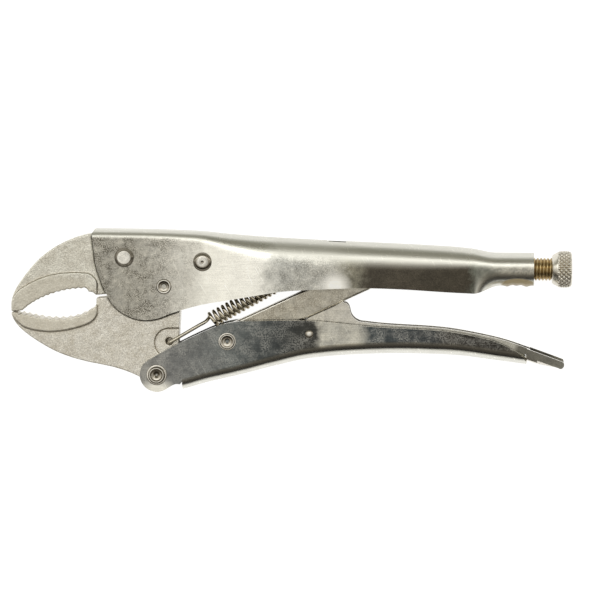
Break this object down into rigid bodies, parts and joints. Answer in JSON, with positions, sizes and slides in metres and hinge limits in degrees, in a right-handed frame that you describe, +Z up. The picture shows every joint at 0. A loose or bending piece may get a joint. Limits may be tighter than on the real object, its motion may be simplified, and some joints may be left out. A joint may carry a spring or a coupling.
{
  "type": "locking pliers",
  "caption": "Curved-jaw locking pliers with toggle linkage, release lever and adjusting screw, closed and locked, lying on their side.",
  "frame": {"origin": "centre of the tool's outline, on the surface it lies on", "axes": "+X from the jaws to the adjusting knob, +Y from the lower handle to the upper handle, +Z up through the tool's thickness"},
  "size_m": [0.2472, 0.0718, 0.0176],
  "materials": {
    "handle_nickel": "semi-gloss nickel plate over pressed sheet, orange-peel mottling and fine scratches",
    "lower_handle_nickel": "glossier nickel plate over pressed sheet, mottled and scratched",
    "jaw_nickel": "matte nickel plate over a sand-blasted forging, speckled",
    "link_nickel": "satin nickel plate, bevelled edges",
    "lever_nickel": "satin nickel plate",
    "knob_nickel": "nickel plate, diamond knurl",
    "screw_thread": "yellow-brown passivated thread",
    "spring_steel": "dark oiled spring wire",
    "rivet_steel": "bright nickel plate, punch marks"
  },
  "bodies": {
    "frame": {"upper_handle": "handle_nickel", "fixed_jaw": "jaw_nickel", "fixed_jaw_rivet_front": "rivet_steel", "fixed_jaw_rivet_rear": "rivet_steel", "jaw_pivot_rivet": "rivet_steel", "jaw_spring": "spring_steel"},
    "moving_jaw": {"lower_jaw": "jaw_nickel"},
    "grip_lever": {"lower_handle": "lower_handle_nickel", "handle_pivot_rivet": "rivet_steel", "link_pivot_rivet": "rivet_steel", "release_lever_pin": "rivet_steel"},
    "link": {"toggle_link": "link_nickel"},
    "release": {"release_lever": "lever_nickel"},
    "screw": {"adjusting_screw": "screw_thread"},
    "knob": {"adjusting_knob": "knob_nickel"}
  },
  "joints": [
    {"name": "jaw_hinge", "type": "hinge", "parent": "frame", "child": "moving_jaw", "pos_m": [-0.05565, 0.01087, 0.0088], "axis": [0, 0, 1], "range_deg": [0, 22], "deforming": ["jaw_spring"]},
    {"name": "handle_hinge", "type": "hinge", "parent": "moving_jaw", "child": "grip_lever", "pos_m": [-0.05899, -0.02829, 0.0088], "axis": [0, 0, 1], "range_deg": [-67, 0]},
    {"name": "link_hinge", "type": "hinge", "parent": "grip_lever", "child": "link", "pos_m": [-0.02775, -0.01329, 0.0088], "axis": [0, 0, 1], "range_deg": [0, 69]},
    {"name": "release_hinge", "type": "hinge", "parent": "grip_lever", "child": "release", "pos_m": [0.00845, -0.00983, 0.0088], "axis": [0, 0, 1], "range_deg": [0, 10]},
    {"name": "screw_slide", "type": "slide", "parent": "frame", "child": "screw", "axis": [1, 0, 0], "range_m": [0, 0.0121]},
    {"name": "knob_turn", "type": "hinge", "parent": "screw", "child": "knob", "pos_m": [0.11935, 0.01867, 0.0088], "axis": [1, 0, 0], "range_deg": [0, 2880]}
  ],
  "couplings": [
    {"joint": "handle_hinge", "follows": "jaw_hinge", "ratio": -3},
    {"joint": "link_hinge", "follows": "jaw_hinge", "ratio": 3.1},
    {"joint": "release_hinge", "follows": "jaw_hinge", "ratio": 0.45},
    {"joint": "screw_slide", "follows": "knob_turn", "m_per_rad": 0.00023873}
  ]
}
